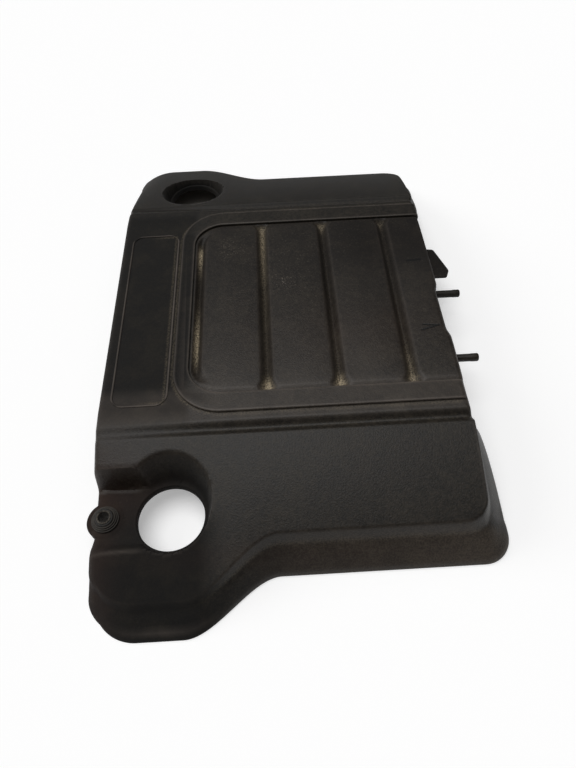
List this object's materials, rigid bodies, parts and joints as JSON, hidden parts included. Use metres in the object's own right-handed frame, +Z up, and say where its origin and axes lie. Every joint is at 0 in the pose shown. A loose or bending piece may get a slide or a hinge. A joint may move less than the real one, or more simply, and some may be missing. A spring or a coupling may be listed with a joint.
{
  "type": "engine cover",
  "caption": "Wide moulded engine top cover with domed pads between grooves, sloping wings, round access holes, a bushed front fixing and rear locating pins.",
  "frame": {"origin": "under the middle of the whole length, on the centre line, at the level of the resting edges", "axes": "+X from the front edge to the rear pins, +Y across to the side without the bush, +Z up"},
  "size_m": [0.468, 0.781, 0.089],
  "materials": {
    "shell_plastic": "fine-grained satin black, scuffed and dusty",
    "bush_rubber": "matte black",
    "sleeve_steel": "dull plated steel"
  },
  "bodies": {
    "root": {"cover_shell": "shell_plastic", "front_bush": "bush_rubber", "bush_sleeve": "sleeve_steel"}
  },
  "joints": []
}
